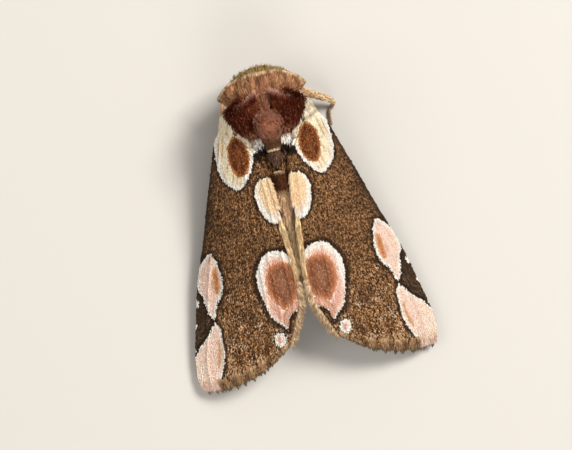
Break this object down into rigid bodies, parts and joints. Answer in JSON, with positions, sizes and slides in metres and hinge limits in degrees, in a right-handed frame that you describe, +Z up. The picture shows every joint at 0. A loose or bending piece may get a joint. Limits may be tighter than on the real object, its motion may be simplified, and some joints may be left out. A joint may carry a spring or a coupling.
{
  "type": "peach blossom moth at rest",
  "caption": "Still, life-size model of a resting moth: roof-folded forewings with peach and white spots, furred thorax with a ball crest, standing on its own feet.",
  "frame": {"origin": "on the surface that the feet stand on, under the middle of the moth's box", "axes": "+Y from head to tail, +Z up from the surface it rests on, +X towards the moth's own left wing"},
  "size_m": [0.0154, 0.0195, 0.0066],
  "materials": {
    "head_fur": "short olive and straw fur",
    "eye": "dark faceted eye, glossy",
    "feeler": "fine brown scales on horny skin",
    "collar_fur": "gold-brown long fur with cream tips",
    "thorax_fur": "dense brown fur",
    "tegula_fur": "dark maroon long fur with cream tips",
    "crest_fur": "pinkish brown tufted fur",
    "abdomen_fur": "straw and light brown fur",
    "forewing_scales": "olive-brown overlapping scales with peach and white spots",
    "hindwing_scales": "plain grey-brown overlapping scales",
    "leg_fur": "straw-coloured short fur"
  },
  "bodies": {
    "root": {"head": "head_fur", "eye_left": "eye", "eye_right": "eye", "palp_left": "head_fur", "palp_right": "head_fur", "proboscis": "feeler", "antenna_left": "feeler", "antenna_right": "feeler", "collar": "collar_fur", "thorax": "thorax_fur", "tegula_left": "tegula_fur", "tegula_right": "tegula_fur", "thorax_crest": "crest_fur", "abdomen_front": "abdomen_fur", "abdomen_middle": "abdomen_fur", "abdomen_rear": "abdomen_fur", "forewing_left": "forewing_scales", "forewing_right": "forewing_scales", "hindwing_left": "hindwing_scales", "hindwing_right": "hindwing_scales", "fore_leg_left": "leg_fur", "fore_leg_right": "leg_fur", "mid_leg_left": "leg_fur", "mid_leg_right": "leg_fur", "hind_leg_left": "leg_fur", "hind_leg_right": "leg_fur"}
  },
  "joints": []
}
